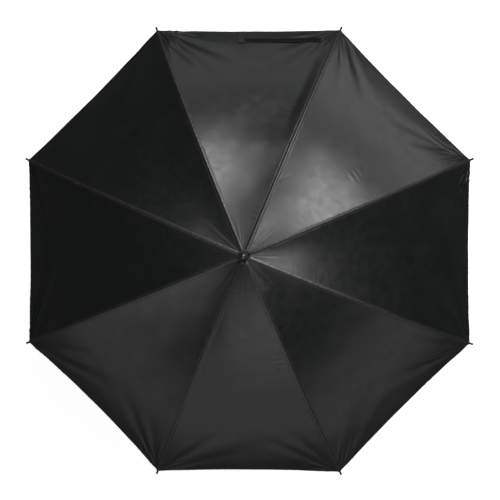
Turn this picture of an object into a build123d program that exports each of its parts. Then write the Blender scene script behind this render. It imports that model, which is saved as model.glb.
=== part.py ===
from build123d import *
import os
from math import asin, atan2, cos, degrees, hypot, radians, sin, sqrt, tan

# A stick golf umbrella, open, 1.30 m from rib tip to rib tip and about 1.0 m long.
# +Z runs up the shaft to the ferrule. The origin is the middle of the hand grip.
# A rib is drawn in the XZ plane, x outwards, and then turned to its place round the shaft.
# All sizes are millimetres and all angles are degrees.

# ---- the canopy's octagon
RIB_COUNT = 8
FIRST_RIB_AZIMUTH = 22.5
RIB_STEP = 360 / RIB_COUNT
HALF_PANEL = RIB_STEP / 2
STRAP_RIB = 2  # the rib whose panel carries the closure strap

# ---- shaft, hand grip and ferrule
SHAFT_R = 7.0
SHAFT_WALL = 0.8
SHAFT_BOTTOM = -88.0
SHAFT_TOP = 900.0
GRIP_R = 16.0
GRIP_BOTTOM = -90.0
GRIP_TOP = 95.0
END_CAP_R = 15.8
END_CAP_THICK = 5.0
END_CAP_PLUG = 24.0
FERRULE_R = 8.5
FERRULE_FLANGE_R = 11.0
FERRULE_TOP = 920.0

# ---- rib: two arcs that meet at the joint under the stretcher's clip
NOTCH_R = 11.0  # radius of the ring of rib pivots
NOTCH_Z = 862.0
SLOPE_START = 4.0  # downward slope of the rib at the notch
SLOPE_JOINT = 24.5
SLOPE_END = 54.0
INNER_LENGTH = 338.0
OUTER_LENGTH = 407.0
INNER_ROD_R = 1.8
OUTER_ROD_R = 1.6
TIP_LENGTH = 28.0
TIP_R = 2.2

# ---- linkage
CLOSING_TURN = 73.8  # how far a rib turns down about the notch when the umbrella closes
CLIP_DROP = 6.5  # stretcher pivot below the rib's centreline
STRETCHER_R = 1.6
RUNNER_PIVOT_R = 13.5  # radius of the ring of stretcher pivots on the runner
EYE_R = 2.2
EYE_WIDTH = 3.0
TRUNNION_R = 0.9
TRUNNION_LENGTH = 5.2
RIVET_R = 0.8
RIVET_CLEARANCE = 0.08
CHEEK_THICK = 1.2
CHEEK_R = 2.4
TONGUE_WIDTH = 2.2
TONGUE_HEIGHT = 2.6
TONGUE_LENGTH = 6.0

# ---- top notch and runner
RING_WIRE_R = 0.7
WIRE_CLEARANCE = 0.25
SLOT_CLEARANCE = 0.3
NOTCH_OUTER_R = 14.5
NOTCH_HUB_R = 8.4
NOTCH_BELOW = 5.5
NOTCH_ABOVE = 1.6
RUNNER_BORE_R = 7.3
SLEEVE_R = 9.3
FLANGE_R = 16.8
FLANGE_HUB_R = 10.9
FLANGE_HALF = 3.5
SLEEVE_LENGTH = 52.0
FOOT_RING_R = 10.5
FOOT_RING_HEIGHT = 6.0

# ---- catches: sprung pawls in slots of the shaft, on the -Y side
CATCH_LENGTH = 36.0
CATCH_WIDTH = 2.5
CATCH_PIN_R = 0.6
CATCH_PIN_RADIUS = 3.0  # how far the pin lies from the shaft's axis
CATCH_NOSE_R = 10.0
CATCH_NOSE_DEPTH = 3.0
CATCH_EYE_R = 1.8
HAND_CATCH_SHELF = 153.0
CATCH_GAP = 0.5

# ---- cloth
CLOTH_OFFSET = 2.6  # inner face of the cloth from the rib's centreline
CLOTH_THICK = 0.5
CLOTH_GAP = 0.3  # between neighbouring pieces of cloth
CROWN_EDGE = -2.4  # arc length at the cloth's upper edge, counted from the notch pivot
HEM_FROM_END = 18.0  # arc length from the hem to the rib's end
ROSETTE_R = 19.0
ROSETTE_THICK = 1.6
STRAP_WIDTH = 20.0
STRAP_THICK = 1.4
STRAP_LENGTH = 222.0
STRAP_START = -28.0  # along +X from the middle of the panel
STRAP_FROM_HEM = 36.0  # along the cloth, from the hem to the strap's nearer edge

INNER_CURVE_R = INNER_LENGTH / radians(SLOPE_JOINT - SLOPE_START)
OUTER_CURVE_R = OUTER_LENGTH / radians(SLOPE_END - SLOPE_JOINT)


def rib_point(arc_length, offset=0.0):
    """(x, z) on a rib's curve, offset outwards from its centreline, and the slope there."""
    if arc_length <= INNER_LENGTH:
        slope = SLOPE_START + degrees(arc_length / INNER_CURVE_R)
        start, radius, first = (NOTCH_R, NOTCH_Z), INNER_CURVE_R, SLOPE_START
    else:
        slope = SLOPE_JOINT + degrees((arc_length - INNER_LENGTH) / OUTER_CURVE_R)
        start, radius, first = rib_point(INNER_LENGTH)[:2], OUTER_CURVE_R, SLOPE_JOINT
    s, s0 = radians(slope), radians(first)
    x = start[0] + radius * (sin(s) - sin(s0)) + offset * sin(s)
    z = start[1] + radius * (cos(s) - cos(s0)) + offset * cos(s)
    return x, z, slope


def linkage():
    """The pivots in the rib's plane, and the travel and turns that close the umbrella."""
    joint = rib_point(INNER_LENGTH)[:2]
    clip = rib_point(INNER_LENGTH, -CLIP_DROP)[:2]
    reach = (clip[0] - NOTCH_R, clip[1] - NOTCH_Z)
    stretcher = hypot(*reach)
    open_z = clip[1] - sqrt(stretcher**2 - (clip[0] - RUNNER_PIVOT_R) ** 2)
    closed_angle = atan2(reach[1], reach[0]) - radians(CLOSING_TURN)
    closed_clip = (
        NOTCH_R + stretcher * cos(closed_angle),
        NOTCH_Z + stretcher * sin(closed_angle),
    )
    lean = asin((closed_clip[0] - RUNNER_PIVOT_R) / stretcher)
    closed_z = closed_clip[1] - stretcher * cos(lean)
    open_direction = degrees(atan2(clip[1] - open_z, clip[0] - RUNNER_PIVOT_R))
    stretcher_turn = (90 - degrees(lean) - open_direction) + CLOSING_TURN
    return {
        "joint": joint,
        "clip": clip,
        "stretcher": stretcher,
        "runner_open": open_z,
        "runner_closed": closed_z,
        "travel": open_z - closed_z,
        "open_direction": open_direction,
        "stretcher_turn": stretcher_turn,
    }


LINKAGE = linkage()


def rib_azimuth(number):
    return FIRST_RIB_AZIMUTH + RIB_STEP * (number - 1)


def drum(radius, bottom, top):
    """A cylinder about the shaft's axis."""
    return Pos(0, 0, bottom) * Cylinder(
        radius, top - bottom, align=(Align.CENTER, Align.CENTER, Align.MIN)
    )


def cross_pin(x, z, radius, width):
    """A cylinder along Y, centred on the rib's plane."""
    return Pos(x, 0, z) * Cylinder(radius, width, rotation=(90, 0, 0))


def rod(start, end, radius):
    """A round rod along the rib's curve between two arc lengths."""
    points = [rib_point(s)[:2] for s in (start, (start + end) / 2, end)]
    path = ThreePointArc(*[(x, 0, z) for x, z in points])
    section = Plane(origin=path @ 0, z_dir=path % 0) * Circle(radius)
    return sweep(section, path=path)


def bar(start, end, height, width):
    """A flat bar between two points of the rib's plane."""
    length = hypot(end[0] - start[0], end[1] - start[1])
    tilt = degrees(atan2(end[1] - start[1], end[0] - start[0]))
    middle = Pos((start[0] + end[0]) / 2, 0, (start[1] + end[1]) / 2)
    return middle * Rot(0, -tilt, 0) * Box(length, width, height)


def plate(points, width):
    """A flat plate on both sides of the rib's plane, from its (x, z) outline."""
    outline = Polyline(*[(x, 0, z) for x, z in points], close=True)
    return extrude(make_face(outline), amount=width / 2, both=True, dir=(0, 1, 0))


def group(*shapes):
    """Separate solids that are kept in one node."""
    return Compound([solid for shape in shapes for solid in shape.solids()])


def along(point, direction, distance):
    angle = radians(direction)
    return point[0] + distance * cos(angle), point[1] + distance * sin(angle)


# ---------------------------------------------------------------- shaft and handle
def catch_slot(low, high):
    """The window through the shaft's wall, on the -Y side, that a catch stands in."""
    width = CATCH_WIDTH + 2 * SLOT_CLEARANCE
    return Pos(0, -SHAFT_R, (low + high) / 2) * Box(width, 4 * SHAFT_WALL, high - low)


def top_catch_shelf():
    return LINKAGE["runner_open"] - SLEEVE_LENGTH - CATCH_GAP


def catch_pin_heights():
    return top_catch_shelf() - CATCH_LENGTH, HAND_CATCH_SHELF + CATCH_LENGTH


def make_catch_pins():
    half = sqrt(SHAFT_R**2 - CATCH_PIN_RADIUS**2) - 0.1
    pins = [
        Pos(0, -CATCH_PIN_RADIUS, z) * Cylinder(CATCH_PIN_R, 2 * half, rotation=(0, 90, 0))
        for z in catch_pin_heights()
    ]
    return group(*pins)


def make_shaft():
    shaft = drum(SHAFT_R, SHAFT_BOTTOM, SHAFT_TOP)
    shaft -= drum(SHAFT_R - SHAFT_WALL, SHAFT_BOTTOM - 1, SHAFT_TOP + 1)
    top_pin, hand_pin = catch_pin_heights()
    shaft -= catch_slot(top_pin + 6, top_catch_shelf() + 1)
    shaft -= catch_slot(HAND_CATCH_SHELF - 1, hand_pin - 6)
    shaft -= make_catch_pins()
    return shaft


def make_grip():
    grip = drum(GRIP_R, GRIP_BOTTOM, GRIP_TOP)
    grip = chamfer(grip.edges().sort_by(Axis.Z)[-1], 3.0)
    return grip - drum(SHAFT_R, GRIP_BOTTOM - 1, GRIP_TOP + 1)


def make_end_cap():
    cap = drum(END_CAP_R, GRIP_BOTTOM - END_CAP_THICK, GRIP_BOTTOM)
    cap = fillet(cap.edges().sort_by(Axis.Z)[0], 2.5)
    cap += drum(SHAFT_R, GRIP_BOTTOM, SHAFT_BOTTOM)
    return cap + drum(SHAFT_R - SHAFT_WALL, SHAFT_BOTTOM, SHAFT_BOTTOM + END_CAP_PLUG)


def rosette_bottom():
    return rib_point(CROWN_EDGE, CLOTH_OFFSET + CLOTH_THICK)[1] + 0.6


def make_rosette():
    bottom = rosette_bottom()
    disc = drum(ROSETTE_R, bottom, bottom + ROSETTE_THICK)
    return disc - drum(SHAFT_R + 0.05, bottom - 1, bottom + ROSETTE_THICK + 1)


def make_ferrule():
    """A turned cap: flange, cone, straight barrel and domed end over the shaft."""
    base = rosette_bottom() + ROSETTE_THICK
    barrel_top = FERRULE_TOP - FERRULE_R
    outline = make_face(
        Wire(
            [
                Line((0, 0, base), (FERRULE_FLANGE_R, 0, base)),
                Line((FERRULE_FLANGE_R, 0, base), (FERRULE_FLANGE_R, 0, base + 2.2)),
                Line((FERRULE_FLANGE_R, 0, base + 2.2), (FERRULE_R, 0, base + 7)),
                Line((FERRULE_R, 0, base + 7), (FERRULE_R, 0, barrel_top)),
                ThreePointArc(
                    (FERRULE_R, 0, barrel_top),
                    (FERRULE_R * cos(radians(45)), 0, barrel_top + FERRULE_R * sin(radians(45))),
                    (0, 0, FERRULE_TOP),
                ),
                Line((0, 0, FERRULE_TOP), (0, 0, base)),
            ]
        )
    )
    return revolve(outline, Axis.Z) - drum(SHAFT_R, base - 1, SHAFT_TOP)


# ---------------------------------------------------------------- notch and runner
def radial_slots(inner_r, width, low, high):
    """One radial slot for each rib, open outwards."""
    depth = FLANGE_R * 2 - inner_r
    slot = Pos(inner_r + depth / 2, 0, (low + high) / 2) * Box(depth, width, high - low)
    return [Rot(0, 0, rib_azimuth(n)) * slot for n in range(1, RIB_COUNT + 1)]


def ring_wire(radius, z, wire_r):
    return Pos(0, 0, z) * Torus(radius, wire_r)


def make_notch():
    low, high = NOTCH_Z - NOTCH_BELOW, NOTCH_Z + NOTCH_ABOVE
    notch = drum(NOTCH_OUTER_R, low, high)
    notch -= drum(SHAFT_R, low - 1, high + 1)
    for slot in radial_slots(NOTCH_HUB_R, EYE_WIDTH + 4 * SLOT_CLEARANCE, low - 1, high + 1):
        notch -= slot
    return notch - ring_wire(NOTCH_R, NOTCH_Z, RING_WIRE_R)


def make_runner():
    z = LINKAGE["runner_open"]
    foot = z - SLEEVE_LENGTH
    runner = drum(SLEEVE_R, foot, z + FLANGE_HALF)
    runner += drum(FLANGE_R, z - FLANGE_HALF, z + FLANGE_HALF)
    runner += drum(FOOT_RING_R, foot, foot + FOOT_RING_HEIGHT)
    runner -= drum(RUNNER_BORE_R, foot - 1, z + FLANGE_HALF + 1)
    low, high = z - FLANGE_HALF - 1, z + FLANGE_HALF + 1
    for slot in radial_slots(FLANGE_HUB_R, 2 * STRETCHER_R + 2 * SLOT_CLEARANCE, low, high):
        runner -= slot
    groove = Pos(RUNNER_PIVOT_R, 0, z) * Box(
        2 * (TRUNNION_R + SLOT_CLEARANCE), TRUNNION_LENGTH + 2 * SLOT_CLEARANCE, high - low
    )
    for n in range(1, RIB_COUNT + 1):
        runner -= Rot(0, 0, rib_azimuth(n)) * groove
    lift = LINKAGE["travel"]
    window_low, window_high = HAND_CATCH_SHELF - CATCH_GAP + lift, HAND_CATCH_SHELF + 21 + lift
    window = Pos(0, -SLEEVE_R, (window_low + window_high) / 2) * Box(
        CATCH_WIDTH + 4 * SLOT_CLEARANCE, 6, window_high - window_low
    )
    return runner - window


def catch_outline():
    """(radius, height) of a pawl that pivots at height 0 and has its shelf at the far end."""
    back = CATCH_PIN_RADIUS - CATCH_EYE_R + 0.2
    return [
        (back, 0),
        (back, CATCH_LENGTH),
        (CATCH_NOSE_R, CATCH_LENGTH),
        (CATCH_NOSE_R, CATCH_LENGTH - CATCH_NOSE_DEPTH),
        (SHAFT_R - SHAFT_WALL - 0.6, CATCH_LENGTH * 0.35),
        (CATCH_PIN_RADIUS + CATCH_EYE_R - 0.2, 0),
    ]


def make_catch(pin_z, upwards):
    """A pawl on the -Y side: it pivots on its pin, and its nose stands out of the shaft."""
    sign = 1 if upwards else -1
    points = [(r, pin_z + sign * h) for r, h in catch_outline()]
    pawl = Rot(0, 0, -90) * plate(points, CATCH_WIDTH)
    eye = Pos(0, -CATCH_PIN_RADIUS, pin_z)
    pawl += eye * Cylinder(CATCH_EYE_R, CATCH_WIDTH, rotation=(0, 90, 0))
    hole_r = CATCH_PIN_R + RIVET_CLEARANCE
    return pawl - eye * Cylinder(hole_r, 2 * CATCH_WIDTH, rotation=(0, 90, 0))


# ---------------------------------------------------------------- one rib's pieces
def make_inner_rib():
    """The rod from the notch wire to the clip, with an eye that turns on the wire."""
    rib = rod(0, INNER_LENGTH - 5, INNER_ROD_R)
    rib += cross_pin(NOTCH_R, NOTCH_Z, EYE_R, EYE_WIDTH)
    return rib - cross_pin(NOTCH_R, NOTCH_Z, RING_WIRE_R + WIRE_CLEARANCE, 2 * EYE_WIDTH)


def tongue_and_eye(pivot, direction, eye_r):
    """The flat end of a rod that turns on a rivet between the clip's cheeks."""
    tongue = bar(pivot, along(pivot, direction, TONGUE_LENGTH), TONGUE_HEIGHT, TONGUE_WIDTH)
    return tongue + cross_pin(*pivot, eye_r, TONGUE_WIDTH)


def rivet_hole(pivot):
    return cross_pin(*pivot, RIVET_R + RIVET_CLEARANCE, 3 * TONGUE_WIDTH)


def make_outer_rib():
    joint = LINKAGE["joint"]
    rib = rod(INNER_LENGTH + TONGUE_LENGTH - 1, INNER_LENGTH + OUTER_LENGTH - 8, OUTER_ROD_R)
    rib += tongue_and_eye(joint, -SLOPE_JOINT, INNER_ROD_R)
    return rib - rivet_hole(joint)


def make_rib_tip():
    """The cap on the rib's end that the cloth's corner is sewn to."""
    end = INNER_LENGTH + OUTER_LENGTH
    tip = rod(end - TIP_LENGTH, end - TIP_R, TIP_R)
    x, z, _ = rib_point(end - TIP_R)
    tip += Pos(x, 0, z) * Sphere(TIP_R)
    return tip - rod(end - TIP_LENGTH - 2, end - 8, OUTER_ROD_R)


def make_clip():
    """A sleeve on the inner rib with two cheeks, and the two rivets that they hold."""
    joint, clip = LINKAGE["joint"], LINKAGE["clip"]
    sleeve = rod(INNER_LENGTH - 24, INNER_LENGTH - 5, INNER_ROD_R + 0.5)
    back = rib_point(INNER_LENGTH - 9)[:2]
    cheek_y = TONGUE_WIDTH / 2 + SLOT_CLEARANCE + CHEEK_THICK / 2
    cheek = bar(joint, clip, 2 * CHEEK_R, CHEEK_THICK)
    cheek += bar(back, joint, 2 * INNER_ROD_R, CHEEK_THICK)
    cheek += cross_pin(*joint, INNER_ROD_R + 0.3, CHEEK_THICK)
    cheek += cross_pin(*clip, CHEEK_R, CHEEK_THICK)
    # the cheek's square corners above the rib would reach the cloth, so they are cut off
    top = rib_point(INNER_LENGTH, CLOTH_OFFSET - 0.3 + 5)[:2]
    cheek -= Pos(top[0], 0, top[1]) * Rot(0, SLOPE_JOINT, 0) * Box(30, 8, 10)
    body = sleeve + Pos(0, cheek_y, 0) * cheek + Pos(0, -cheek_y, 0) * cheek
    body -= rod(INNER_LENGTH - 25, INNER_LENGTH - 5, INNER_ROD_R)
    length = TONGUE_WIDTH + 2 * (SLOT_CLEARANCE + CHEEK_THICK)
    rivets = [cross_pin(*pivot, RIVET_R, length) for pivot in (joint, clip)]
    for rivet in rivets:
        body -= rivet
    return group(body, *rivets)


def make_stretcher():
    """The strut from the runner's groove to the clip, with a cross pin at its lower end."""
    clip = LINKAGE["clip"]
    lower = (RUNNER_PIVOT_R, LINKAGE["runner_open"])
    back = LINKAGE["open_direction"] + 180
    start = along(clip, back, TONGUE_LENGTH - 1)
    middle = Pos((start[0] + lower[0]) / 2, 0, (start[1] + lower[1]) / 2)
    length = hypot(start[0] - lower[0], start[1] - lower[1])
    strut = middle * Rot(0, 90 - LINKAGE["open_direction"], 0) * Cylinder(STRETCHER_R, length)
    strut += tongue_and_eye(clip, back, 2.0)
    strut += cross_pin(*lower, EYE_R, 2 * STRETCHER_R)
    strut += cross_pin(*lower, TRUNNION_R, TRUNNION_LENGTH)
    return strut - rivet_hole(clip)


# ---------------------------------------------------------------- cloth
def cloth_band(start, end):
    """A band of one flat-cut panel, bent only down its length, centred on the X axis."""
    shrink = cos(radians(HALF_PANEL))
    inner, outer = [
        [
            (rib_point(s, offset)[0] * shrink, 0, rib_point(s, offset)[1])
            for s in (start, (start + end) / 2, end)
        ]
        for offset in (CLOTH_OFFSET, CLOTH_OFFSET + CLOTH_THICK)
    ]
    edges = [
        ThreePointArc(*inner),
        Line(inner[2], outer[2]),
        ThreePointArc(*outer),
        Line(outer[0], inner[0]),
    ]
    reach = outer[2][0] * tan(radians(HALF_PANEL)) + 1
    return extrude(make_face(Wire(edges)), amount=reach, both=True, dir=(0, 1, 0))


def half_wedge(side):
    """The space above one half of a panel, from its middle line to the rib on that side."""
    gap = CLOTH_GAP / 2
    reach = 2 * (INNER_LENGTH + OUTER_LENGTH)
    angle = radians(HALF_PANEL)
    apex = (gap / sin(angle) + gap / tan(angle), gap)
    corner = (apex[0] + reach * cos(angle), gap + reach * sin(angle))
    outline = Polyline((*apex, 0), (apex[0] + reach, gap, 0), (*corner, 0), close=True)
    wedge = extrude(make_face(outline), amount=SHAFT_TOP, dir=(0, 0, 1))
    return wedge if side > 0 else mirror(wedge, about=Plane.XZ)


def make_gores():
    """For each rib, the cloth on both sides of it, in an inner and an outer band."""
    hem = INNER_LENGTH + OUTER_LENGTH - HEM_FROM_END
    bands = [
        cloth_band(CROWN_EDGE, INNER_LENGTH - CLOTH_GAP / 2),
        cloth_band(INNER_LENGTH + CLOTH_GAP / 2, hem),
    ]
    # a half on its panel's +Y side meets the rib half a step further round
    far_side = [Rot(0, 0, -HALF_PANEL) * (band & half_wedge(1)) for band in bands]
    near_side = [Rot(0, 0, HALF_PANEL) * (band & half_wedge(-1)) for band in bands]
    return group(*far_side, *near_side)


def make_strap():
    """The closure strap, which lies flat on the cloth a little above the hem."""
    hem = INNER_LENGTH + OUTER_LENGTH - HEM_FROM_END
    shrink = cos(radians(HALF_PANEL))
    lift = CLOTH_OFFSET + CLOTH_THICK + SLOT_CLEARANCE
    low, high = [
        rib_point(s, lift) for s in (hem - STRAP_FROM_HEM, hem - STRAP_FROM_HEM - STRAP_WIDTH)
    ]
    slope = radians(low[2])
    out = (STRAP_THICK * sin(slope), STRAP_THICK * cos(slope))
    outline = [(low[0] * shrink, low[1]), (high[0] * shrink, high[1])]
    outline += [(x + out[0], z + out[1]) for x, z in reversed(outline)]
    strap = plate(outline, STRAP_LENGTH)
    # turned to face +Y; its length then runs along X
    return Pos(STRAP_START + STRAP_LENGTH / 2, 0, 0) * Rot(0, 0, 90) * strap


def turned(shape, number):
    return Rot(0, 0, rib_azimuth(number)) * shape


def save(name, shape):
    export_step(shape, f"parts/{name}.step")


def main():
    os.makedirs("parts", exist_ok=True)
    top_pin, hand_pin = catch_pin_heights()
    save("shaft", make_shaft())
    save("catch_pins", make_catch_pins())
    save("grip", make_grip())
    save("handle_end_cap", make_end_cap())
    save("crown_rosette", make_rosette())
    save("ferrule", make_ferrule())
    save("top_notch", make_notch())
    save("notch_wire", ring_wire(NOTCH_R, NOTCH_Z, RING_WIRE_R))
    save("runner", make_runner())
    save("top_catch", make_catch(top_pin, True))
    save("hand_catch", make_catch(hand_pin, False))
    save("closure_strap", make_strap())
    per_rib = {
        "rib_inner": make_inner_rib(),
        "rib_outer": make_outer_rib(),
        "rib_clip": make_clip(),
        "rib_tip": make_rib_tip(),
        "stretcher": make_stretcher(),
        "canopy_gore": make_gores(),
    }
    for number in range(1, RIB_COUNT + 1):
        for name, shape in per_rib.items():
            save(f"{name}_{number}", turned(shape, number))


if __name__ == "__main__":
    main()
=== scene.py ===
"""The look of a golf umbrella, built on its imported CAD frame.

Lengths are in metres and angles in radians, unless a comment says otherwise.

The cloth is made in half panels, because each half goes with the rib that it is sewn to when the
umbrella closes. Two neighbouring halves share one relief, so each panel is one curved sheet at rest.
"""

from math import cos, pi, radians, sin

import bpy
import numpy as np
from mathutils import Matrix, Vector


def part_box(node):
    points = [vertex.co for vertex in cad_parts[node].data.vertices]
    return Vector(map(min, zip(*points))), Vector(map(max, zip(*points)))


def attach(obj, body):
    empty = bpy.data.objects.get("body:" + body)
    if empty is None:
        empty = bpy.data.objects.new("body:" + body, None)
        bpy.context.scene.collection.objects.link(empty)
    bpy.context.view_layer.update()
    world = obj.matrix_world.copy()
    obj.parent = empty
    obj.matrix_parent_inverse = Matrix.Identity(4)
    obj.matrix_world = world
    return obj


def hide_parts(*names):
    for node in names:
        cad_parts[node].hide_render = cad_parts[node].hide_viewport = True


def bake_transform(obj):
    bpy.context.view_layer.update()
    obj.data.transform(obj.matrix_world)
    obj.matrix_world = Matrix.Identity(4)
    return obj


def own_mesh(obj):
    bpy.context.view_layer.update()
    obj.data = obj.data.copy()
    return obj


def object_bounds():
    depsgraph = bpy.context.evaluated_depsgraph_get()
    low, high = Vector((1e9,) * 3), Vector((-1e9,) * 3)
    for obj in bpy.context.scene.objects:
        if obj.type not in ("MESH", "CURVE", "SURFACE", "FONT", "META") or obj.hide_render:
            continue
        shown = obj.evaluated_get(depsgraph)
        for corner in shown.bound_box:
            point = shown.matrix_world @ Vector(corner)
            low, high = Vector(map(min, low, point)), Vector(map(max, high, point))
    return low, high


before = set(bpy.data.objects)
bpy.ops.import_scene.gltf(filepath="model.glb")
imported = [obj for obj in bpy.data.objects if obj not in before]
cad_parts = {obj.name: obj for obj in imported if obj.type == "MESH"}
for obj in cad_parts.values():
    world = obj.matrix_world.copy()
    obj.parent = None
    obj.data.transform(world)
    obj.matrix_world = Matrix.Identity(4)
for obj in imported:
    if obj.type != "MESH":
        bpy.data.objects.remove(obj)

cad_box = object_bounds()
MM = 0.001

# ---------------------------------------------------------------- the frame's driving dimensions
RIB_COUNT = 8
STEP = 2 * pi / RIB_COUNT
HALF = STEP / 2
NOTCH_R, NOTCH_Z = 11 * MM, 862 * MM  # where a rib's centreline starts
# how steeply a rib falls at the notch, at its hinge and at its end
SLOPE_START, SLOPE_JOINT, SLOPE_END = radians(4), radians(24.5), radians(54)
INNER_LENGTH, OUTER_LENGTH = 338 * MM, 407 * MM
INNER_CURVE_R = INNER_LENGTH / (SLOPE_JOINT - SLOPE_START)
OUTER_CURVE_R = OUTER_LENGTH / (SLOPE_END - SLOPE_JOINT)
# the cloth's edges, as arc lengths along a rib
CROWN_EDGE = -2.4 * MM
HEM = INNER_LENGTH + OUTER_LENGTH - 18 * MM
CLOTH_LINE = 2.85 * MM  # the cloth's middle, from the rib's centreline
STRAP_RIB = 2  # the strap lies on the panel that starts at this rib


def rib_azimuth(rib):
    return HALF + STEP * (rib - 1)


def panel_azimuth(panel):
    """A panel has the number of its first rib."""
    return STEP * panel


def rib_line(arc, offset=0.0):
    """Radius, height and slope at an arc length along a rib, offset outwards from its centreline."""
    arc = np.asarray(arc, float)
    inner_slope = SLOPE_START + np.minimum(arc, INNER_LENGTH) / INNER_CURVE_R
    slope = inner_slope + np.maximum(arc - INNER_LENGTH, 0) / OUTER_CURVE_R
    radius = NOTCH_R + INNER_CURVE_R * (np.sin(inner_slope) - sin(SLOPE_START))
    radius = radius + OUTER_CURVE_R * (np.sin(slope) - np.sin(inner_slope))
    height = NOTCH_Z + INNER_CURVE_R * (np.cos(inner_slope) - cos(SLOPE_START))
    height = height + OUTER_CURVE_R * (np.cos(slope) - np.cos(inner_slope))
    return radius + offset * np.sin(slope), height + offset * np.cos(slope), slope


def half_width(arc):
    """Half the straight distance between two neighbouring ribs."""
    return rib_line(arc, CLOTH_LINE)[0] * sin(HALF)


def placed(outward, beside, height, azimuth):
    """Points from their distances outwards along an azimuth and beside it, and their height."""
    x = outward * cos(azimuth) - beside * sin(azimuth)
    y = outward * sin(azimuth) + beside * cos(azimuth)
    return np.stack([x, y, height], -1)


# ---------------------------------------------------------------- the relief of the cloth
SAG, HEM_SAG = 9 * MM, 2 * MM  # on a panel's middle line: half way down it, and at the hem
PLEATS, CORNER_PLEAT = 8, 1.15 * MM  # at each hem corner: how many, and their usual height
HEM_PLEATS, HEM_PLEAT = 11, 0.75 * MM  # the short ones along each half of a hem
PUCKER, PUCKER_LENGTH, PUCKER_REACH = 0.16 * MM, 13 * MM, 11 * MM  # the seams' small ripples
# where the hollows deepen and where they fade, as arc lengths along the rib
HOLLOW_START, HOLLOW_END = (300 * MM, 430 * MM), (570 * MM, 700 * MM)
# the wrinkles of a pinched group: their height, width, distance apart and length each way
PINCH, PINCH_WIDTH, PINCH_STEP, PINCH_REACH = 1.1 * MM, 5 * MM, 14 * MM, 15 * MM
# the corners that are pulled hardest: (panel, side) and how many times the usual pleat height
HARD_CORNERS = {
    (1, -1): 1.6, (1, 1): 1.3, (2, -1): 1.5, (2, 1): 2.3, (3, -1): 1.4, (3, 1): 1.3,
    (4, -1): 1.9, (4, 1): 1.8, (5, -1): 1.3, (7, 1): 1.3, (8, -1): 1.9, (8, 1): 2.8,
}
# hollows that run beside a seam: (panel, side), their depth and how far from the seam they lie
SEAM_HOLLOWS = {
    (2, -1): (8.0 * MM, 44 * MM), (2, 1): (1.0 * MM, 13 * MM), (7, -1): (0.6 * MM, 13 * MM),
}
# the pinched groups: the panel, the side, how far down the rib and how far from its seam
PINCHES = [
    (2, -1, 112 * MM, 16 * MM), (2, -1, 420 * MM, 52 * MM),
    (1, -1, 385 * MM, 88 * MM), (6, 1, 300 * MM, 30 * MM),
]
# how far the middle of a panel's hem stands back from the straight line between its corners
SCALLOPS = {1: 5 * MM, 2: 2 * MM, 3: 5 * MM, 4: 5 * MM, 5: 15 * MM, 6: 6 * MM, 7: 8 * MM, 8: 5 * MM}


def smooth(x, low, high):
    """A soft step from 0 at low to 1 at high."""
    share = np.clip((x - low) / (high - low), 0, 1)
    return share * share * (3 - 2 * share)


def ridge(x):
    """A pleat's section: a crest between two shallow valleys."""
    return (1 - 1.3 * x * x) * np.exp(-x * x)


def sag(arc, across):
    """Taut cloth sinks between its ribs, and curves the other way across than along."""
    share = np.clip(arc / HEM, 0, 1)
    depth = SAG * np.sin(pi * share**1.15) + HEM_SAG * share**4
    return -depth * (1 - across**2)


def fanned(away, angle, start, bend, width):
    """A pleat that leaves a corner at the angle start and bends as it goes."""
    return ridge(away * (angle - start - bend * away) / width)


def corner_pleats(draw, arc, across, side, height):
    """Pleats that fan out from a hem corner, and two long shallow troughs into the panel."""
    beside = half_width(HEM) - side * across * half_width(arc)
    above = HEM - arc
    away = np.hypot(beside, above)
    angle = np.arctan2(above, beside)
    total = np.zeros_like(away)
    for start in np.linspace(radians(5), radians(69), PLEATS):
        start = start + draw.normal(0, radians(2.4))
        bend = draw.uniform(-2.2, 2.2)
        length = draw.uniform(0.060, 0.150)
        crest = height * draw.uniform(0.45, 1.25)
        width = 1.7 * MM + 0.045 * away
        window = smooth(away, 8 * MM, 30 * MM) * (1 - smooth(away, 0.4 * length, 1.15 * length))
        total += crest * window * fanned(away, angle, start, bend, width)
    for start in (radians(30), radians(52)):
        start = start + draw.normal(0, radians(6))
        bend = draw.uniform(-0.5, 0.5)
        length = draw.uniform(0.24, 0.36)
        crest = -0.9 * height * draw.uniform(0.6, 1.2)
        width = 5 * MM + 0.11 * away
        window = smooth(away, 0.04, 0.11) * (1 - smooth(away, 0.5 * length, 1.1 * length))
        total += crest * window * fanned(away, angle, start, bend, width)
    return total


def hem_pleats(draw, arc, across, panel):
    """Short pleats that run up from the hem's stitching, highest where a corner is pulled hard."""
    above = HEM - arc
    place = across * half_width(arc)
    total = np.zeros_like(above)
    reach = half_width(HEM)
    for side in (-1, 1):
        height = HEM_PLEAT * HARD_CORNERS.get((panel, side), 1.0)
        for number in range(HEM_PLEATS):
            spot = side * reach * (1 - 0.05 - 0.085 * number + draw.normal(0, 0.012))
            slant = side * draw.uniform(0.15, 1.1)
            length = draw.uniform(0.014, 0.045)
            width = draw.uniform(2.2, 5.0) * MM
            crest = height * draw.uniform(0.35, 1.1) * (1 - 0.07 * number)
            near = smooth(above, -2 * MM, 5 * MM) * np.exp(-((above / length) ** 2))
            total += crest * near * ridge((place - spot + slant * above) / (width + 0.12 * above))
    return total


def crown_streaks(draw, arc, across):
    """Fine radial gathers that spread from the crown."""
    total = np.zeros_like(arc)
    for count in (2.0, 3.0, 4.6, 6.4, 8.2):
        reach = draw.uniform(0.09, 0.24)
        crest = 0.13 * MM / count**0.6
        window = smooth(arc, 4 * MM, 26 * MM) * (1 - smooth(arc, 0.3 * reach, reach))
        total += crest * window * np.cos(count * pi * across + draw.uniform(0, 2 * pi))
    return total


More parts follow.
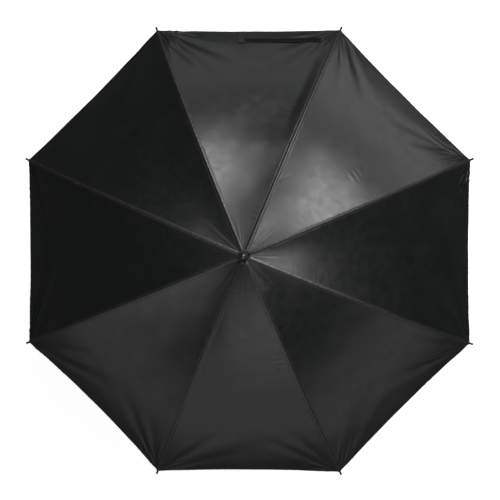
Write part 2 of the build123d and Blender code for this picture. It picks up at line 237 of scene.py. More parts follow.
def seam_puckers(draw, arc, across):
    """Small ripples that the rib seams' stitching draws in, and a few longer wrinkles beside it."""
    total = np.zeros_like(arc)
    width = half_width(arc)
    for side in (-1, 1):
        beside = (1 - side * across) * width
        wander = sum(
            draw.uniform(0.5, 1.2) * np.sin(arc * draw.uniform(18, 60) + draw.uniform(0, 2 * pi))
            for _ in range(3)
        )
        ripple = np.sin(2 * pi * arc / PUCKER_LENGTH + wander)
        total += PUCKER * np.exp(-beside / PUCKER_REACH) * ripple
        for _ in range(5):
            spot = draw.uniform(0.16, 0.62)
            slant = draw.uniform(0.7, 1.5)
            length = draw.uniform(0.018, 0.05)
            crest = draw.uniform(0.08, 0.30) * MM
            spread = draw.uniform(3.5, 7.0) * MM
            window = smooth(beside, 2 * MM, 12 * MM) * np.exp(-((beside / length) ** 2))
            total += crest * window * ridge((arc - spot - slant * beside) / spread)
    return total


def seam_hollow(arc, across, side, depth, middle):
    """A trough beside a seam, where the panel is slack: steep next to the seam, and slow beyond."""
    beside = (1 - side * across) * half_width(arc)
    window = smooth(arc, *HOLLOW_START) * (1 - smooth(arc, *HOLLOW_END))
    spread = np.where(beside < middle, 0.66 * middle, 2.2 * middle)
    return -depth * window * np.exp(-(((beside - middle) / spread) ** 2))


def pinches(panel, arc, across):
    """Groups of three short wrinkles, one below the other."""
    total = np.zeros_like(arc)
    for at_panel, side, spot, middle in PINCHES:
        if at_panel == panel:
            off = (1 - side * across) * half_width(arc) - middle
            for step in (-1, 0, 1):
                line = arc - spot - step * PINCH_STEP - 0.25 * off
                window = np.exp(-((off / PINCH_REACH) ** 2)) * (1 - 0.25 * abs(step))
                total += PINCH * window * ridge(line / PINCH_WIDTH)
    return total


def undulation(draw, arc, across):
    """The slow unevenness of hand-stretched cloth."""
    place = across * half_width(arc)
    total = np.zeros_like(arc)
    for _ in range(7):
        length, turn = draw.uniform(0.055, 0.17), draw.uniform(0, pi)
        phase = 2 * pi * (place * cos(turn) + arc * sin(turn)) / length + draw.uniform(0, 2 * pi)
        total += 0.11 * MM * (length / 0.1) * np.sin(phase)
    return total


def relief(panel, arc, across):
    """How far a panel's cloth stands out from the straight lines between its two ribs."""
    draw = np.random.default_rng(700 + panel)
    arc, across = np.broadcast_arrays(np.asarray(arc, float), np.asarray(across, float))
    fine = undulation(draw, arc, across)
    fine = fine + crown_streaks(draw, arc, across) + seam_puckers(draw, arc, across)
    for side in (-1, 1):
        height = CORNER_PLEAT * HARD_CORNERS.get((panel, side), 1.0)
        fine = fine + corner_pleats(draw, arc, across, side, height)
        if (panel, side) in SEAM_HOLLOWS:
            fine = fine + seam_hollow(arc, across, side, *SEAM_HOLLOWS[panel, side])
    fine = fine + hem_pleats(draw, arc, across, panel) + pinches(panel, arc, across)
    beside = (1 - np.abs(across)) * half_width(arc)
    # the seams and the crown hold the cloth
    held = smooth(beside, 0, 9 * MM) * smooth(arc, 3 * MM, 20 * MM)
    return sag(arc, across) + fine * held


def cloth_point(panel, arc, across, lift=0.0):
    """Points on a panel's cloth. across is -1 at the panel's first rib and +1 at the next."""
    radius, height, slope = rib_line(arc, CLOTH_LINE)
    out, up = np.sin(slope), cos(HALF) * np.cos(slope)
    size = np.hypot(out, up)
    shift = relief(panel, arc, across) + lift
    reach = radius * cos(HALF) + shift * out / size
    beside = radius * sin(HALF) * across
    return placed(reach, beside, height + shift * up / size, panel_azimuth(panel))


def rib_point(rib, arc, beside, lift):
    """Points beside a rib's line, on the slopes of the two panels that meet there."""
    radius, height, _ = rib_line(arc, CLOTH_LINE + lift)
    radius = radius - np.abs(beside) * sin(HALF) / cos(HALF)
    return placed(radius, beside, height + 0 * beside, rib_azimuth(rib))


# ---------------------------------------------------------------- shader building
def node(tree, kind, values=(), **settings):
    """A shader node with its settings, and its inputs set to numbers or joined to sockets."""
    made = tree.nodes.new(kind)
    for name, value in settings.items():
        setattr(made, name, value)
    for name, value in dict(values).items():
        if isinstance(value, bpy.types.NodeSocket):
            tree.links.new(value, made.inputs[name])
        else:
            made.inputs[name].default_value = value
    return made


def math_node(tree, operation, a, b=0.0):
    return node(tree, "ShaderNodeMath", {0: a, 1: b}, operation=operation).outputs[0]


def stretched(tree, vector, scale):
    """A place in space, scaled by its own number along each axis."""
    return node(tree, "ShaderNodeMapping", {"Vector": vector, "Scale": scale}).outputs[0]


def noise(tree, vector, scale, detail=3.0, roughness=0.55):
    values = {"Vector": vector, "Scale": scale, "Detail": detail, "Roughness": roughness}
    return node(tree, "ShaderNodeTexNoise", values).outputs["Fac"]


def ramp(tree, value, low, high, to_low=0.0, to_high=1.0):
    """Maps the range from low to high onto another, and stops at its ends."""
    values = {"Value": value, "From Min": low, "From Max": high, "To Min": to_low, "To Max": to_high}
    return node(tree, "ShaderNodeMapRange", values).outputs[0]


def mixed(tree, share, first, second):
    """A colour between two, which are sockets or constants."""
    made = node(tree, "ShaderNodeMix", data_type="RGBA")
    for name, value in (("Factor_Float", share), ("A_Color", first), ("B_Color", second)):
        socket = next(s for s in made.inputs if s.identifier == name)
        if isinstance(value, bpy.types.NodeSocket):
            tree.links.new(value, socket)
        else:
            socket.default_value = value
    return next(s for s in made.outputs if s.identifier == "Result_Color")


def grey(value, warmth=0.0):
    return (value * (1 + warmth), value, value * (1 - warmth), 1)


def new_material(name):
    made = bpy.data.materials.new(name)
    made.use_nodes = True
    made.node_tree.nodes.clear()
    return made, made.node_tree


def finish_material(tree, colour, roughness, height, bump, **constants):
    """Ends a material in a shader. bump is the height in metres that the pattern stands up."""
    values = {"Base Color": colour, "Roughness": roughness}
    shader = node(tree, "ShaderNodeBsdfPrincipled", values)
    for name, value in constants.items():
        shader.inputs[name.replace("_", " ")].default_value = value
    if height is not None:
        bumped = node(tree, "ShaderNodeBump", {"Height": height, "Distance": bump, "Strength": 1.0})
        tree.links.new(bumped.outputs[0], shader.inputs["Normal"])
    output = node(tree, "ShaderNodeOutputMaterial")
    tree.links.new(shader.outputs[0], output.inputs["Surface"])


def attribute(tree, name):
    made = node(tree, "ShaderNodeAttribute", attribute_name=name)
    return made.outputs["Vector"]


def weave_height(tree, place, pitch):
    """A plain weave: two sets of threads, each over and under the other."""
    # the texture's phase grows by 20 for each unit, and one wave covers two threads
    values = {"Vector": place, "Scale": pi / (20 * pitch), "Distortion": 0.0}
    across = node(tree, "ShaderNodeTexWave", values, bands_direction="X").outputs["Fac"]
    along = node(tree, "ShaderNodeTexWave", values, bands_direction="Y").outputs["Fac"]
    return math_node(tree, "MULTIPLY", across, along)


def stitches(tree, distance, middle, along, pitch, thread):
    """A mask of stitches in a row, at one distance from an edge."""
    off = math_node(tree, "ABSOLUTE", math_node(tree, "SUBTRACT", distance, middle))
    row = ramp(tree, off, thread, 0.5 * thread)
    dash = math_node(tree, "SINE", math_node(tree, "MULTIPLY", along, 2 * pi / pitch))
    return math_node(tree, "MULTIPLY", row, ramp(tree, dash, -0.55, 0.1))


def cloth_material(
    name, dark, light, roughness, pitch=0.28 * MM, stitched=(), gloss=0.36, ripples=0.0
):
    """Close-woven black pongee. The cloth's own coordinates are its pieces' two attributes.

    stitched lists rows of stitches: which edge they follow, how far from it, and along which axis.
    ripples is how many times higher than the weave the unevenness is that a seam draws in.
    """
    made, tree = new_material(name)
    place, edge = attribute(tree, "cloth_place"), attribute(tree, "cloth_edge")
    split_place = node(tree, "ShaderNodeSeparateXYZ", {0: place})
    split_edge = node(tree, "ShaderNodeSeparateXYZ", {0: edge})
    slow = noise(tree, place, 9.0, 2.0)
    warp = noise(tree, stretched(tree, place, (2400, 60, 1)), 1.0, 2.0)
    weft = noise(tree, stretched(tree, place, (60, 2400, 1)), 1.0, 2.0)
    threads = math_node(tree, "ADD", warp, weft)
    colour = mixed(tree, ramp(tree, slow, 0.35, 0.68), dark, light)
    colour = mixed(tree, ramp(tree, threads, 0.9, 1.4, 0.0, 0.25), colour, grey(0.010))
    near_edge = math_node(tree, "MINIMUM", split_edge.outputs[0], split_edge.outputs[1])
    scuffs = ramp(tree, noise(tree, place, 160.0, 4.0), 0.42, 0.7)
    worn = math_node(tree, "MULTIPLY", ramp(tree, near_edge, 6 * MM, 0), scuffs)
    colour = mixed(tree, math_node(tree, "MULTIPLY", worn, 0.4), colour, grey(0.018))
    slubs = math_node(tree, "MULTIPLY", threads, 0.4)
    height = math_node(tree, "ADD", weave_height(tree, place, pitch), slubs)
    for side, distance, along in stitched:
        mask = stitches(
            tree, split_edge.outputs[side], distance, split_place.outputs[along], 2.6 * MM, 0.45 * MM
        )
        colour = mixed(tree, math_node(tree, "MULTIPLY", mask, 0.7), colour, grey(0.018))
        height = math_node(tree, "ADD", height, math_node(tree, "MULTIPLY", mask, 8.0))
    drawn_in = ramp(tree, split_edge.outputs[0], 75 * MM, 4 * MM, 0.0, ripples)
    ripple = noise(tree, stretched(tree, place, (24, 105, 1)), 1.0, 1.5)
    height = math_node(tree, "ADD", height, math_node(tree, "MULTIPLY", ripple, drawn_in))
    rough = ramp(tree, noise(tree, place, 40.0, 4.0), 0.3, 0.7, roughness - 0.04, roughness + 0.05)
    finish_material(
        tree, colour, rough, height, 0.010 * MM, Specular_IOR_Level=gloss, Sheen_Weight=0.02,
        Sheen_Roughness=0.45,
    )
    return made


def solid_material(
    name, dark, light, roughness, grain, bump, squeeze=(1, 1, 1), wear=0.0, **constants
):
    """A hard or foam surface. grain is its pattern's size, squeeze divides that along each axis."""
    made, tree = new_material(name)
    place = node(tree, "ShaderNodeTexCoord").outputs["Object"]
    fine = noise(tree, stretched(tree, place, tuple(share / grain for share in squeeze)), 1.0, 4.0)
    slow = noise(tree, place, 14.0, 3.0)
    colour = mixed(tree, ramp(tree, slow, 0.3, 0.7), dark, light)
    colour = mixed(tree, ramp(tree, fine, 0.5, 0.8, 0.0, 0.35), colour, light)
    if wear:
        convex = node(tree, "ShaderNodeNewGeometry").outputs["Pointiness"]
        specks = ramp(tree, noise(tree, place, 220.0), 0.4, 0.65)
        rubbed = math_node(tree, "MULTIPLY", ramp(tree, convex, 0.52, 0.62), specks)
        colour = mixed(tree, math_node(tree, "MULTIPLY", rubbed, wear), colour, grey(0.12))
    rough = ramp(tree, fine, 0.3, 0.7, roughness - 0.05, roughness + 0.07)
    finish_material(tree, colour, rough, fine, bump, **constants)
    return made


PONGEE = cloth_material(
    "pongee", (0.0026, 0.0031, 0.0032, 1), (0.0042, 0.0045, 0.0045, 1), 0.34,
    stitched=[(1, 7.2 * MM, 0), (0, 4.4 * MM, 1)], ripples=30.0,
)
SEAM_CLOTH = cloth_material(
    "seam_cloth", grey(0.0040), grey(0.0065), 0.36, stitched=[(0, 1.4 * MM, 1), (0, 4.6 * MM, 1)]
)
STRAP_CLOTH = cloth_material(
    "strap_cloth", grey(0.0018), grey(0.0032), 0.55, pitch=0.5 * MM,
    stitched=[(0, 1.8 * MM, 1), (1, 1.8 * MM, 0)], gloss=0.04,
)
ROSETTE_CLOTH = cloth_material("rosette_cloth", grey(0.0030), grey(0.0055), 0.30)
THREAD = solid_material("thread", grey(0.010), grey(0.022), 0.62, 0.25 * MM, 0.05 * MM)
FINISHES = {
    "shaft": solid_material(
        "painted_steel", grey(0.012), grey(0.017), 0.24, 2.5 * MM, 0.004 * MM, (1, 1, 0.1), 0.06,
        Coat_Weight=0.5, Coat_Roughness=0.12,
    ),
    "catch": solid_material(
        "spring_steel", grey(0.30), grey(0.44), 0.30, 0.4 * MM, 0.006 * MM, (1, 1, 0.05), 0.3,
        Metallic=1.0,
    ),
    "grip": solid_material(
        "grip_foam", grey(0.013), grey(0.026), 0.78, 0.9 * MM, 0.22 * MM, Specular_IOR_Level=0.4
    ),
    "cap": solid_material("cap_plastic", grey(0.011), grey(0.017), 0.42, 0.6 * MM, 0.02 * MM, wear=0.5),
    "ferrule": solid_material(
        "ferrule_plastic", grey(0.008), grey(0.014), 0.30, 0.7 * MM, 0.015 * MM, wear=0.5
    ),
    "runner": solid_material(
        "runner_plastic", grey(0.012), grey(0.018), 0.45, 0.5 * MM, 0.02 * MM, wear=0.5
    ),
    "rib": solid_material(
        "rib_fibreglass", grey(0.012), grey(0.030), 0.34, 0.8 * MM, 0.01 * MM, Coat_Weight=0.3,
        Coat_Roughness=0.2,
    ),
    "clip": solid_material(
        "clip_plastic", grey(0.010), grey(0.016), 0.48, 0.4 * MM, 0.02 * MM, wear=0.4
    ),
    "tip": solid_material(
        "tip_plastic", grey(0.003), grey(0.006), 0.45, 0.4 * MM, 0.02 * MM, wear=0.3,
        Specular_IOR_Level=0.2,
    ),
}
# the CAD's nodes by name, or by their name without its number
FINISH_OF_NODE = {
    "shaft": "shaft", "catch_pins": "catch", "top_catch": "catch", "hand_catch": "catch",
    "notch_wire": "catch", "grip": "grip", "handle_end_cap": "cap", "ferrule": "ferrule",
    "top_notch": "runner", "runner": "runner", "rib_inner": "rib", "rib_outer": "rib",
    "stretcher": "rib", "rib_clip": "clip", "rib_tip": "tip",
}


def paint_frame():
    """Gives each CAD node that stays in view its finish."""
    for name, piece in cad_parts.items():
        kind = name if name in FINISH_OF_NODE else name.rsplit("_", 1)[0]
        if kind in FINISH_OF_NODE:
            piece.data.materials.clear()
            piece.data.materials.append(FINISHES[FINISH_OF_NODE[kind]])


# ---------------------------------------------------------------- mesh building
def grid_faces(rows, columns, around_rows=False, around_columns=False):
    """The faces of a grid of points, which may run round on itself in either direction."""
    index = np.arange(rows * columns).reshape(rows, columns)
    if around_rows:
        index = np.concatenate([index, index[:1]])
    if around_columns:
        index = np.concatenate([index, index[:, :1]], 1)
    faces = np.stack([index[:-1, :-1], index[1:, :-1], index[1:, 1:], index[:-1, 1:]], -1)
    faces = faces.reshape(-1, 4).tolist()
    if around_rows and not around_columns:
        # the two ends of the tube are closed
        faces += [index[:-1, 0].tolist(), index[:-1, -1][::-1].tolist()]
    return faces


def smooth_piece(name, points, faces, material):
    mesh = bpy.data.meshes.new(name)
    mesh.from_pydata(points, [], faces)
    mesh.polygons.foreach_set("use_smooth", [True] * len(mesh.polygons))
    mesh.materials.append(material)
    piece = bpy.data.objects.new(name, mesh)
    bpy.context.scene.collection.objects.link(piece)
    return piece


def grid_piece(name, points, material, place=None, edge=None, **around):
    """A piece from a grid of points. place and edge are the cloth's own coordinates, for its weave."""
    faces = grid_faces(*points.shape[:2], **around)
    piece = smooth_piece(name, points.reshape(-1, 3).tolist(), faces, material)
    for label, values in (("cloth_place", place), ("cloth_edge", edge)):
        if values is not None:
            store = piece.data.attributes.new(label, "FLOAT_VECTOR", "POINT")
            store.data.foreach_set("vector", np.stack(values, -1).astype(np.float32).ravel())
    piece.data.update()
    return piece


def tube(route, radius, sides=8):
    """The grid of points of a closed ring of wire or thread along a closed route."""
    ahead = np.roll(route, -1, 0) - np.roll(route, 1, 0)
    ahead /= np.linalg.norm(ahead, axis=1, keepdims=True)
    out = route - route.mean(0)
    out -= (out * ahead).sum(1, keepdims=True) * ahead
    out /= np.linalg.norm(out, axis=1, keepdims=True)
    side = np.cross(ahead, out)
    turn = np.linspace(0, 2 * pi, sides, endpoint=False)[None, :, None]
    return route[:, None] + radius * (np.cos(turn) * out[:, None] + np.sin(turn) * side[:, None])


# ---------------------------------------------------------------- the canopy
INNER_ROWS, INNER_COLUMNS = 70, 34
OUTER_ROWS, OUTER_COLUMNS = 92, 58
UNDERLAP = 10 * MM  # how far the inner band runs on under the outer one
HEM_FOLD = 8.5 * MM
# the hem's turning, row by row: how far past the cloth's edge, and how far above the cloth
HEM_TURNING = [
    (0.35 * MM, -0.35 * MM), (0.1 * MM, -0.8 * MM), (-0.5 * HEM_FOLD, -0.9 * MM),
    (-HEM_FOLD, -0.8 * MM),
]
# across a strip, in millimetres: how far beside the rib's line, and how far above the cloth
SEAM_SECTION = [
    (-5.2, 0.05), (-4.8, 0.6), (-2.3, 0.75), (-0.3, 1.15), (1.3, 1.15), (1.9, 0.35), (4.9, 0.2),
    (5.2, 0.0),
]
ALLOWANCE_SECTION = [(-7.5, -0.75), (-3.0, -0.6), (0.0, -0.55), (3.0, -0.6), (7.5, -0.75)]
# where thread ties the cloth to the ribs, as arc lengths
INNER_TIES, OUTER_TIES = (120 * MM, 235 * MM), (500 * MM, 722 * MM)
TIE_LOOPS, TIE_PITCH, THREAD_R = 4, 0.75 * MM, 0.28 * MM
TIP_R = 2.65 * MM
TIP_SHOWN = 17 * MM  # how far short of the rib's end a tip starts, just past the cloth
BEAD_REACH = 2.4 * MM  # how far a tip's rounded end stands past the rib's end


def fold(piece):
    """Gives the piece its own copy of its mesh."""
    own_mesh(piece)


def sides_panel(rib, side):
    """The panel on one side of a rib."""
    if side > 0:
        return rib
    return rib - 1 if rib > 1 else RIB_COUNT


def hem_arc(panel, across):
    """The arc length at which a panel's cloth ends."""
    return HEM - SCALLOPS[panel] * (1 - across**2)


def inner_band(side):
    """The arc, the place across and the lift of each point of half a panel's inner band."""
    columns = np.linspace(0, 1, INNER_COLUMNS)
    under = INNER_LENGTH + UNDERLAP * np.array([0.12, 0.45, 1.0])
    arc = np.concatenate([np.linspace(CROWN_EDGE, INNER_LENGTH, INNER_ROWS), under])
    arc = arc[:, None] + 0 * columns
    across = -side * (1 - columns)[None, :] + 0 * arc
    # just below the outer band where the two meet, and well below it at the end
    lift = -0.04 * MM * smooth(arc, INNER_LENGTH - 2 * UNDERLAP, INNER_LENGTH)
    past = smooth(arc, INNER_LENGTH + 0.12 * UNDERLAP, INNER_LENGTH + 0.5 * UNDERLAP)
    return arc, across, lift - 0.46 * MM * past


def outer_band(panel, side):
    """The same for the outer band, whose hem is turned under against the inside of the cloth."""
    columns = np.linspace(0, 1, OUTER_COLUMNS) ** 1.35
    share = 1 - (1 - np.linspace(0, 1, OUTER_ROWS)) ** 1.3
    across = -side * (1 - columns)[None, :] + 0 * share[:, None]
    edge_line = hem_arc(panel, across)
    arc = INNER_LENGTH + share[:, None] * (edge_line - INNER_LENGTH)
    past, low = (np.array(column) for column in zip(*HEM_TURNING))
    arc = np.concatenate([arc, edge_line[: len(past)] + past[:, None]])
    across = np.concatenate([across, across[: len(past)]])
    lift = np.concatenate([0 * share, low])[:, None] + 0 * arc
    return arc, across, lift


def cloth_sheet(rib, side, band):
    """Half a panel, from the rib to the panel's middle line, in its inner or its outer band."""
    panel = sides_panel(rib, side)
    arc, across, lift = inner_band(side) if band == "inner" else outer_band(panel, side)
    points = cloth_point(panel, arc, across, lift)
    width = half_width(arc)
    place = (across * width, arc, 0 * arc)
    edge = ((1 - np.abs(across)) * width, np.maximum(hem_arc(panel, across) - arc, 0), 0 * arc)
    if side > 0:
        # the columns run the same way round on both sides, so that all faces look outwards
        points = points[:, ::-1]
        place = [values[:, ::-1] for values in place]
        edge = [values[:, ::-1] for values in edge]
    where = "far" if side > 0 else "near"
    piece = grid_piece(f"cloth_{rib}_{where}_{band}", points, PONGEE, place, edge)
    fold(piece)
    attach(piece, f"rib_{band}_{rib}")
    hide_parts(f"canopy_gore_{rib}")
    return piece


def band_flat_size(band):
    """The size and area of the flat cloth that half a panel's band was cut from."""
    start, end = (CROWN_EDGE, INNER_LENGTH + UNDERLAP) if band == "inner" else (INNER_LENGTH, HEM)
    length = end - start + (HEM_FOLD if band == "outer" else 0)
    width = float(half_width(end))
    area = (float(half_width(start)) + width) / 2 * (end - start)
    if band == "outer":
        area += width * HEM_FOLD
    return (width, length), min(area, width * length)


def rib_strip(rib, name, section, seed, start, end, waver):
    """A strip of cloth down a rib's seam, bending where the rib flexes. waver makes it uneven."""
    draw = np.random.default_rng(seed + rib)
    arc = np.linspace(start, end, 240)[:, None]
    wander = sum(
        waver * draw.uniform(0.4, 1) * np.sin(arc * draw.uniform(20, 260) + draw.uniform(0, 2 * pi))
        for _ in range(5)
    )
    beside, lift = (np.array(column)[None, :] * MM for column in zip(*section))
    beside = beside * (1 + 0.06 * np.sin(arc * 170 + rib)) + wander
    lift = lift * (1 + 0.25 * np.sin(arc * 420 + 2 * rib)) + 0 * arc
    points = rib_point(rib, arc, beside, lift)
    span = max(abs(b) for b, _ in section) * MM
    place = (beside, arc + 0 * beside, 0 * beside)
    edge = (span - np.abs(beside), 0.05 + 0 * beside, 0 * beside)
    piece = grid_piece(name, points, SEAM_CLOTH, place, edge)
    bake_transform(piece)
    return piece


def thread_ties(rib, body, arcs, radius):
    """Turns of thread that hold the seam to the rib."""
    draw = np.random.default_rng(40 + rib)
    grids = []
    turn = np.linspace(0, 2 * pi, 28, endpoint=False)
    for arc in arcs:
        for loop in range(TIE_LOOPS):
            place = arc + loop * TIE_PITCH + draw.uniform(-0.15, 0.15) * MM
            tilt = draw.uniform(-0.5, 0.5) * MM
            size = radius + draw.uniform(0, 0.15) * MM
            beside = size * np.sin(turn)
            radial, height, _ = rib_line(place + tilt * np.cos(turn), size * np.cos(turn))
            grids.append(tube(placed(radial, beside, height, rib_azimuth(rib)), THREAD_R))
    return rings(f"thread_ties_{body}", grids, THREAD, body)


def rings(name, grids, material, body):
    """Several closed rings as one piece, on one body."""
    points, faces = [], []
    for grid in grids:
        rows, columns = grid.shape[:2]
        made = grid_faces(rows, columns, around_rows=True, around_columns=True)
        faces += [[len(points) + corner for corner in face] for face in made]
        points += grid.reshape(-1, 3).tolist()
    piece = smooth_piece(name, points, faces, material)
    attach(piece, body)
    return piece


def tip_bead(rib):
    """The moulded tip over a rib's end, with a collar where the cloth ends and a rounded end."""
    end = INNER_LENGTH + OUTER_LENGTH
    along = np.linspace(-TIP_SHOWN, BEAD_REACH, 34)[:, None]
    share = (along + TIP_SHOWN) / (BEAD_REACH + TIP_SHOWN)
    collar = 0.4 * MM * np.exp(-((share / 0.12) ** 2))
    bulge = 0.45 * MM * np.exp(-(((share - 0.86) / 0.08) ** 2))
    close = np.sqrt(np.clip(1 - np.clip((share - 0.90) / 0.10, 0, 1) ** 2, 0.004, 1))
    size = (TIP_R + collar + bulge) * close
    turn = np.linspace(0, 2 * pi, 20, endpoint=False)[None, :]
    radial, height, slope = rib_line(end)
    out, up = cos(slope), -sin(slope)  # along the rib at its end
    radius = radial + along * out + size * np.cos(turn) * sin(slope)
    z = height + along * up + size * np.cos(turn) * cos(slope)
    points = placed(radius, size * np.sin(turn), z, rib_azimuth(rib))
    piece = grid_piece(f"tip_bead_{rib}", points, FINISHES["tip"], around_columns=True)
    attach(piece, f"rib_outer_{rib}")


def make_canopy():
    """The cloth, its seams and ties, and the tips. Returns the half panels by rib, side and band."""
    halves = {}
    for rib in range(1, RIB_COUNT + 1):
        tip_bead(rib)
        sewn = [
            rib_strip(rib, f"seam_{rib}", SEAM_SECTION, 300, 7 * MM, HEM + 0.5 * MM, 0.10 * MM),
            rib_strip(
                rib, f"seam_allowance_{rib}", ALLOWANCE_SECTION, 500, 2 * MM, HEM - HEM_FOLD, 0.25 * MM
            ),
            thread_ties(rib, f"rib_inner_{rib}", INNER_TIES, 3.4 * MM),
            thread_ties(rib, f"rib_outer_{rib}", OUTER_TIES, 3.5 * MM),
        ]
        for side in (1, -1):
            for band in ("inner", "outer"):
                half = cloth_sheet(rib, side, band)
                halves[rib, side, band] = half
                flat, area = band_flat_size(band)
    return halves


# ---------------------------------------------------------------- the closure strap
STRAP_WIDTH, STRAP_LENGTH, STRAP_THICK = 18 * MM, 222 * MM, 0.8 * MM
STRAP_START = -28 * MM  # along +X from the middle of the panel
STRAP_FROM_HEM = 37 * MM
STRAP_ARC = HEM - STRAP_FROM_HEM - STRAP_WIDTH / 2  # where its middle line lies
STRAP_CLEAR = 0.2 * MM  # above the highest pleat under it
TAB_WIDTH, TAB_THICK = 17 * MM, 0.7 * MM


def strap_surface(x, arc, lift):
    """Points on the strap's panel at a distance along +X from its middle line."""
    across = -x / half_width(arc)
    return cloth_point(STRAP_RIB, arc, across, lift)


def band_of_cloth(name, material, x, arc, lift, thick, edge):
    """A flat band with rounded edges: its upper face, its edges and its lower face in one grid."""
    upper = strap_surface(x, arc, lift + thick)
    lower = strap_surface(x, arc, lift)
    middle_first = strap_surface(x[:1], arc[:1], lift[:1] + thick / 2)
    middle_last = strap_surface(x[-1:], arc[-1:], lift[-1:] + thick / 2)
    points = np.concatenate([middle_first, upper, middle_last, lower[::-1]])

    def around(values):
        return np.concatenate([values[:1], values, values[-1:], values[::-1]])

    place = (around(x), around(arc), 0 * around(x))
    edges = tuple(around(e) for e in edge)
    return grid_piece(name, points, material, place, edges, around_rows=True)


def bridging_height(bare, reach=5):
    """A smooth line along the strap, over the highest of the pleats under it."""
    count = bare.shape[1]
    top = np.pad(bare.max(0), reach, mode="edge")
    high = np.max([top[first : first + count] for first in range(2 * reach + 1)], 0)
    kernel = np.hanning(2 * reach + 3)
    return np.convolve(np.pad(high, reach + 1, mode="edge"), kernel / kernel.sum(), "valid")


def strap_band():
    """The strap. Both its ends are rounded, the free tail more than the sewn end."""
    share = np.linspace(0, 1, 150)[None, :]
    step = np.linspace(-1, 1, 12)[:, None]
    to_end = np.minimum((1 - share) * STRAP_LENGTH / (STRAP_WIDTH / 2), 1)
    to_start = np.minimum(share * STRAP_LENGTH / (3 * MM), 1)
    half = STRAP_WIDTH / 2 * np.sqrt(np.maximum(1 - (1 - to_end) ** 2, 0.002))
    half = half * (0.75 + 0.25 * np.sqrt(np.maximum(1 - (1 - to_start) ** 2, 0.0)))
    waver = 0.6 * MM * np.sin(share * 9 + 0.7) + 0.3 * MM * np.sin(share * 23)
    arc = STRAP_ARC + step * half + waver
    x = STRAP_START + STRAP_LENGTH * share + 0 * arc
    bare = relief(STRAP_RIB, arc, -x / half_width(arc))
    crown = 0.25 * MM * (1 - step**2)
    lift = np.maximum(bridging_height(bare)[None, :] - bare + STRAP_CLEAR, STRAP_CLEAR) + crown
    from_ends = np.minimum(share, 1 - share) * STRAP_LENGTH
    edge = (half * (1 - np.abs(step)), from_ends + 0 * arc, 0 * arc)
    return band_of_cloth("closure_strap_band", STRAP_CLOTH, x, arc, lift, STRAP_THICK, edge)


def strap_tab():
    """The tab that runs from the hem over the strap's sewn end."""
    arc = np.linspace(STRAP_ARC - STRAP_WIDTH / 2 - 1.5 * MM, HEM - 3 * MM, 40)[:, None]
    x = STRAP_START + 2 * MM + TAB_WIDTH * np.linspace(0, 1, 16)[None, :]
    x, arc = x + 0 * arc, arc + 0 * x
    over = smooth(arc, STRAP_ARC + STRAP_WIDTH / 2 + 6 * MM, STRAP_ARC + STRAP_WIDTH / 2 - 1 * MM)
    lift = 0.25 * MM + (STRAP_THICK + 0.9 * MM) * over
    edge = (np.minimum(x - x[:, :1], x[:, -1:] - x), HEM - arc + 10 * MM, 0 * arc)
    return band_of_cloth("closure_strap_tab", SEAM_CLOTH, x, arc, lift, TAB_THICK, edge)


def make_strap():
    strap, tab = strap_band(), strap_tab()
    for piece in (strap, tab):
        fold(piece)
        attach(piece, f"rib_outer_{STRAP_RIB}")
    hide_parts("closure_strap")


# ---------------------------------------------------------------- the crumpled rosette
ROSETTE_R = 8.9 * MM  # the ring's inner edge, against the ferrule
ROSETTE_REACH, ROSETTE_CUT = 5.2 * MM, 7.2 * MM  # the ring's width as gathered, and as it was cut


def ruffle(name, seed, base, petals, edge_lift, folds):
    """A gathered ring of cloth. petals lists (azimuth, half width, extra reach, extra lift)."""
    draw = np.random.default_rng(seed)
    turn = np.linspace(0, 2 * pi, 220, endpoint=False)[None, :]
    share = np.linspace(0, 1, 26)[:, None]
    reach = ROSETTE_REACH + sum(
        0.55 * MM * draw.uniform(0.4, 1.2) * np.sin(n * turn + draw.uniform(0, 2 * pi))
        for n in (2, 3, 5, 8)
    )
    lift = edge_lift + 0 * turn
    for azimuth, half, more, rise in petals:
        off = (turn - azimuth + pi) % (2 * pi) - pi
        bump = np.exp(-((off / half) ** 2))
        reach = reach + more * bump
        lift = lift + rise * bump
    radius = ROSETTE_R + share * reach
    wave = sum(
        draw.uniform(0.6, 1.2) / n**0.5
        * np.sin(n * turn + draw.uniform(0, 2 * pi) + draw.uniform(-2, 2) * share)
        for n in folds
    )
    height = base + lift * share**1.4 + 1.15 * MM * wave * share**0.8
    curl = 0.9 * MM * share**6
    twist = 0.10 * np.sin(3 * turn + seed) * share
    x = radius * np.cos(turn + twist)
    y = radius * np.sin(turn + twist)
    points = np.stack([x, y, np.maximum(height - curl, base - 0.2 * MM * share)], -1)
    place = (radius * np.cos(turn), radius * np.sin(turn), 0 * radius)
    edge = ((1 - share) * reach, 0.05 + 0 * radius, 0 * radius)
    piece = grid_piece(name, points, ROSETTE_CLOTH, place, edge, around_columns=True)
    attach(piece, "shaft")
    return piece


def make_rosette():
    low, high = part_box("crown_rosette")
    lower = ruffle(
        "crown_rosette_lower", 61, low.z + 0.6 * MM,
        [(radians(-84), 0.42, 10.5 * MM, 1.5 * MM), (radians(4), 0.33, 4.5 * MM, 1.0 * MM)],
        0.8 * MM, (5, 9, 14),
    )
    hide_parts("crown_rosette")
    ruffle(
        "crown_rosette_upper", 67, high.z + 0.5 * MM,
        [(radians(-78), 0.30, 7.0 * MM, 4.0 * MM), (radians(20), 0.30, 3.5 * MM, 3.0 * MM)],
        2.0 * MM, (4, 7, 11),
    )


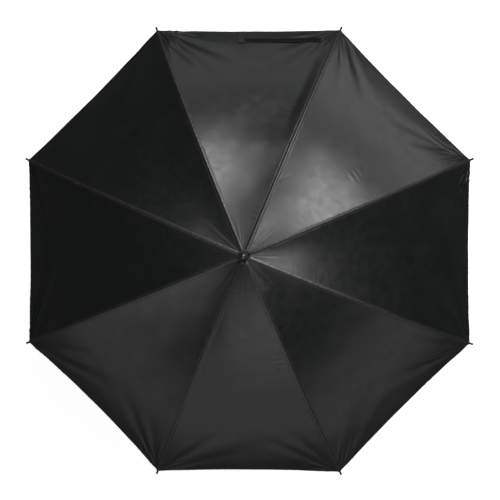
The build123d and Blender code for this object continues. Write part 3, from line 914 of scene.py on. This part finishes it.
# ---------------------------------------------------------------- studio
FLAT_RADIUS, SWEEP = 26.0, 16.0  # the flat part of the floor, and the sweep into the backdrop
RIM_HEIGHT = 0.472
CAMERA_DISTANCE = 6.0
CAMERA_AIM = (1.3 * MM, 1.9 * MM, RIM_HEIGHT)
CAMERA_TILT = radians(2.0), radians(1.9)  # from straight above, towards +X and +Y
FRAME_WIDTH = 1.3555  # how much the picture shows from side to side, at the rim's height
LAMP_AIM = (0, 0, 0.7)  # the point under the crown that every lamp faces
# name, azimuth and angle from straight up in degrees, distance, width and height, power in watts
SOFT_BOXES = [
    ("key", 64, 46, 3.2, (2.2, 1.1), 126),
    ("top", 24, 21, 3.4, (1.3, 1.1), 48),
    ("top_back", 112, 24, 3.4, (0.9, 0.9), 8),
    ("low_side", 46, 86, 3.4, (1.5, 1.6), 21),
    ("low_back", 92, 88, 3.4, (1.4, 1.5), 9),
    ("fill", 252, 44, 3.6, (2.6, 2.4), 36),
    ("low_left", 233, 80, 3.6, (1.9, 2.1), 11),
    ("low_middle", 270, 80, 3.6, (1.9, 2.1), 11),
    ("low_right", 307, 80, 3.6, (1.9, 2.1), 12),
]


def look_from(piece, aim, direction, distance, top):
    """Puts a camera or lamp at a distance from aim, facing it, with its top towards top."""
    backward = direction.normalized()
    right = top.cross(backward).normalized()
    upward = backward.cross(right)
    piece.location = aim + distance * backward
    piece.rotation_euler = Matrix((right, upward, backward)).transposed().to_euler()


def soft_box(name, azimuth, polar, distance, size, energy):
    data = bpy.data.lights.new(name, "AREA")
    data.shape = "RECTANGLE"
    data.size, data.size_y = size
    data.energy = energy
    light = bpy.data.objects.new(name, data)
    bpy.context.scene.collection.objects.link(light)
    direction = Vector((sin(polar) * cos(azimuth), sin(polar) * sin(azimuth), cos(polar)))
    look_from(light, Vector(LAMP_AIM), direction, distance, top=Vector((0, 0, 1)))
    light.visible_camera = False


def make_floor():
    """A pale floor, flat round the umbrella, that far off sweeps up into the backdrop."""
    floor_z = cad_box[0][2] - 0.5 * MM
    turn = np.linspace(0, 2 * pi, 96, endpoint=False)[None, :]
    rise = np.linspace(0, pi / 2, 24)
    radius = np.concatenate([[0.02], FLAT_RADIUS + SWEEP * np.sin(rise)])[:, None] + 0 * turn
    height = np.concatenate([[0.0], SWEEP * (1 - np.cos(rise))])[:, None] + floor_z + 0 * turn
    points = np.stack([radius * np.cos(turn), radius * np.sin(turn), height], -1)
    made, tree = new_material("pale_floor")
    place = node(tree, "ShaderNodeTexCoord").outputs["Object"]
    pale = mixed(tree, noise(tree, place, 1.5), grey(0.50), grey(0.54))
    finish_material(
        tree, pale, noise(tree, place, 3.0), None, 0.0, Emission_Strength=0.74,
        Emission_Color=(1, 1, 1, 1),
    )
    floor = grid_piece("floor", points, made, around_columns=True)
    # or the glossy cloth would mirror it
    floor.visible_glossy = False


def make_studio():
    make_floor()
    for name, azimuth, polar, distance, size, energy in SOFT_BOXES:
        soft_box(name, radians(azimuth), radians(polar), distance, size, energy)
    world = bpy.data.worlds.new("studio")
    bpy.context.scene.world = world
    world.use_nodes = True
    world.node_tree.nodes["Background"].inputs["Color"].default_value = (0.92, 0.97, 1, 1)
    world.node_tree.nodes["Background"].inputs["Strength"].default_value = 0.026
    bpy.context.scene.view_settings.view_transform = "Standard"

    data = bpy.data.cameras.new("camera")
    data.sensor_width = 36
    data.lens = data.sensor_width * CAMERA_DISTANCE / FRAME_WIDTH
    camera = bpy.data.objects.new("camera", data)
    bpy.context.scene.collection.objects.link(camera)
    direction = Vector((sin(CAMERA_TILT[0]), sin(CAMERA_TILT[1]), 1))
    look_from(camera, Vector(CAMERA_AIM), direction, CAMERA_DISTANCE, top=Vector((0, 1, 0)))
    bpy.context.scene.camera = camera


paint_frame()
cloth = make_canopy()
make_strap()
make_rosette()
make_studio()
